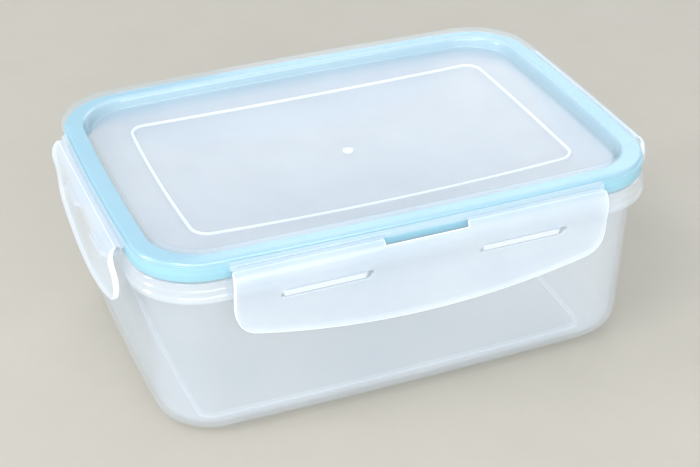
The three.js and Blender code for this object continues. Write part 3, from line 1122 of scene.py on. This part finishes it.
    def edge_skin(self, skin: Skin, loop: np.ndarray, rings: Sequence[EdgeRing]) -> tuple[Rim, Rim]:
        """Adds a rounded edge round a loop.

        Args:
            skin: Where it goes.
            loop: The loop on the flat drawing.
            rings: Its rings, from the outer face to the inner one.

        Returns:
            Where the outer face starts and where the inner one does.
        """
        hem = np.clip((-loop[:, 1] - self.hem_start) / self.hem_rise, 0, 1)
        flats, numbers = [], []
        for ring in rings:
            flats.append(moved_in(loop, (ring.inset + ring.hem_inset * hem)[:, None]))
            depth = ring.walls * self.thickness(loop[:, 1]) + ring.deeper + ring.hem * hem
            numbers.append(skin.add(self.rolled(flats[-1], depth)))
        for ring, pair in zip(rings, pairwise(numbers)):
            skin.dress(ring.finish)
            skin.wrap(pair)
        return (flats[0], numbers[0]), (flats[-1], numbers[-1])

    def panel(self, skin: Skin, loops: Sequence[Rim], walls: int) -> None:
        """Fills one face of the flap with triangles.

        Args:
            skin: Where it goes.
            loops: The border and then the slots, each with its points' numbers.
            walls: 0 for the outer face, 1 for the inner one.
        """
        border = loops[0][0]
        along = np.arange(border[:, 0].min(), border[:, 0].max(), self.grid_spacing)
        down = np.concatenate((np.arange(-1.2, -18, -0.9), np.arange(-18.6, -40, -2.4)))  # bends, flat
        offset = self.grid_spacing / 2
        grid = np.array([(a + offset * (i % 2), d) for i, d in enumerate(down) for a in along])
        keep = inside(grid, moved_in(border, self.grid_clear))
        for hole, _ in loops[1:]:
            keep &= ~inside(grid, moved_in(hole, -self.grid_clear))
        grid = grid[keep]
        numbers = [number for _, ring in loops for number in ring]
        numbers += skin.add(self.rolled(grid, walls * self.thickness(grid[:, 1])))
        flat = np.vstack([loop for loop, _ in loops] + [grid])
        edges, first = [], 0
        for loop, _ in loops:
            count = len(loop)
            edges += [(first + i, first + (i + 1) % count) for i in range(count)]
            first += count
        spots, _, triangles, origins, _, _ = delaunay_2d_cdt(
            [Vector(point) for point in flat], edges, [], 0, 1e-7
        )
        middles = np.array([tuple(spot) for spot in spots])[np.array(triangles)].mean(axis=1)
        wanted = inside(middles, border)
        for hole, _ in loops[1:]:
            wanted &= ~inside(middles, hole)
        for triangle, good in zip(triangles, wanted):
            if good:
                skin.faces.append(tuple(numbers[origins[i][0]] for i in triangle))

    def build(self) -> bpy.types.Object:
        """Makes the flap and rides it on its body."""
        skin = Skin(RAISED_LINES_PAINTED_GLOW)
        rims = [self.edge_skin(skin, self.border(), self.hem_rings())]
        rims += [self.edge_skin(skin, self.slot(sign), self.slot_rings()) for sign in (-1, 1)]
        outer, inner = zip(*rims)
        skin.dress(FLAP_PLASTIC)
        self.panel(skin, outer, 0)
        self.panel(skin, inner, 1)
        piece = skin.turned(self.side).build(f"flap_{self.side.label}_moulding")
        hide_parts(f"flap_{self.side.label}")
        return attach(piece, f"flap_{self.side.label}")


# ---- Hinge webs ----


@dataclass(frozen=True)
class HingeWebs:
    """The thin webs of one side, each spanning the hinge between the lid and the flap."""

    side: Side
    thickness: float = 0.4
    reach: float = 0.95
    divisions: int = 10
    rings: int = 12
    end_gap: float = 0.6
    notch_gap: float = 0.2

    def stretches(self) -> dict[str, tuple[float, float]]:
        """Ends of each stretch along the side, by the name of its node."""
        half = self.side.flap / 2 - self.end_gap
        name = f"hinge_web_{self.side.label}"
        if not self.side.name.is_long:
            return {name: (-half, half)}
        notch = NOTCH_LENGTH / 2 + self.notch_gap
        return {f"{name}_a": (-half, -notch), f"{name}_b": (notch, half)}

    def build(self) -> list[bpy.types.Object]:
        """Makes the webs, one strip for each stretch of the side."""
        pieces = []
        outs = np.linspace(-self.reach, self.reach, self.divisions + 1)
        half = self.thickness / 2
        loop = [(out, -half) for out in outs] + [(out, half) for out in reversed(outs)]
        for node, (start, end) in self.stretches().items():
            skin = Skin(FLAP_PLASTIC)
            places = np.linspace(end, start, self.rings)
            rings = [skin.add(self.side.section(along, loop)) for along in places]
            skin.wrap(rings)
            for ring in (rings[0], rings[-1]):
                low, high = ring[:len(outs)], ring[len(outs):][::-1]
                skin.faces += [(low[i], low[i + 1], high[i + 1], high[i]) for i in range(self.divisions)]
            piece = skin.turned(self.side).build(f"{node}_strip")
            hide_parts(node)
            self.side.place(0, -WEB_GAP, 0)
            self.side.place(0, WEB_GAP, 0)
            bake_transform(piece)
            pieces.append(piece)
        return pieces


# ---- Studio ----


@dataclass(frozen=True)
class SoftLight:
    """A large soft lamp aimed at the box."""

    name: str
    place: tuple[float, float, float]
    size: tuple[float, float]
    power: float
    colour: tuple[float, float, float] = (1.0, 1.0, 1.0)


@dataclass(frozen=True)
class Studio:
    """The floor, the lamps and the camera."""

    azimuth: float = -21.55
    elevation: float = 31.31
    distance: float = 647.02
    target: tuple[float, float, float] = (-0.02, -0.98, 34.49)
    roll: float = -0.73
    lens: float = 83.2
    floor_size: float = 6000.0
    sky: tuple[float, float, float] = (0.86, 0.93, 1.0)
    sky_strength: float = 0.79
    lamps: tuple[SoftLight, ...] = (
        SoftLight("key_lamp", (-700, -500, 1300), (500, 500), 5.5, (1.0, 0.985, 0.96)),
        SoftLight("front_lamp", (-300, -1400, 650), (1900, 1000), 17, (0.97, 0.985, 1.0)),
        SoftLight("side_lamp", (-1400, 150, 450), (250, 900), 7, (0.97, 0.985, 1.0)),
        SoftLight("rim_lamp", (700, 1100, 900), (900, 600), 3, (0.95, 0.98, 1.0)),
    )

    def camera(self) -> None:
        """Makes the scene's camera."""
        azimuth, elevation = math.radians(self.azimuth), math.radians(self.elevation)
        level = math.cos(elevation)
        back = Vector((math.sin(azimuth) * level, -math.cos(azimuth) * level, math.sin(elevation)))
        right = back.cross(Vector((0, 0, -1))).normalized()
        axes = Matrix((right, back.cross(right), back)).transposed()
        axes = axes @ Matrix.Rotation(math.radians(self.roll), 3, "Z")
        data = bpy.data.cameras.new("box_camera")
        data.lens = self.lens
        camera = bpy.data.objects.new("box_camera", data)
        eye = (Vector(self.target) + back * self.distance) * MM
        camera.matrix_world = Matrix.Translation(eye) @ axes.to_4x4()
        bpy.context.scene.collection.objects.link(camera)
        bpy.context.scene.camera = camera

    def floor(self) -> None:
        """Lays the floor that the box stands on."""
        half = self.floor_size / 2
        skin = Skin(FLOOR_CARD)
        corners = [(-half, -half, 0), (half, -half, 0), (half, half, 0), (-half, half, 0)]
        skin.faces.append(tuple(skin.add(np.array(corners))))
        skin.build("floor")

    def light(self) -> None:
        """Hangs the lamps and sets the sky."""
        for lamp in self.lamps:
            data = bpy.data.lights.new(lamp.name, "AREA")
            data.shape = "RECTANGLE"
            data.size, data.size_y = lamp.size[0] * MM, lamp.size[1] * MM
            data.energy = lamp.power
            data.color = lamp.colour
            holder = bpy.data.objects.new(lamp.name, data)
            holder.location = Vector(lamp.place) * MM
            holder.rotation_euler = (-holder.location).to_track_quat("-Z", "Y").to_euler()
            bpy.context.scene.collection.objects.link(holder)
        world = bpy.data.worlds.new("sky")
        world.use_nodes = True
        background = world.node_tree.nodes["Background"]
        background.inputs["Color"].default_value = (*self.sky, 1)
        background.inputs["Strength"].default_value = self.sky_strength
        bpy.context.scene.world = world

    def set_up(self) -> None:
        """Makes everything round the box."""
        self.camera()
        self.floor()
        self.light()
        bpy.context.scene.view_settings.view_transform = "Standard"
        bpy.context.scene.cycles.transparent_max_bounces = 48


def main() -> None:
    """Builds the box in its studio and logs how many faces each piece has."""
    logging.basicConfig(level=logging.INFO, format="%(message)s")
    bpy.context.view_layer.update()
    Studio().set_up()
    lid = Lid()
    pieces = [Tub().build(), lid.build(), Seal().build(lid)]
    for side in SIDES:
        pieces.append(Flap(side).build())
        pieces += HingeWebs(side).build()
    for piece in pieces:
        log.info("%s: %d faces", piece.name, len(piece.data.polygons))


if __name__ == "__main__":
    main()
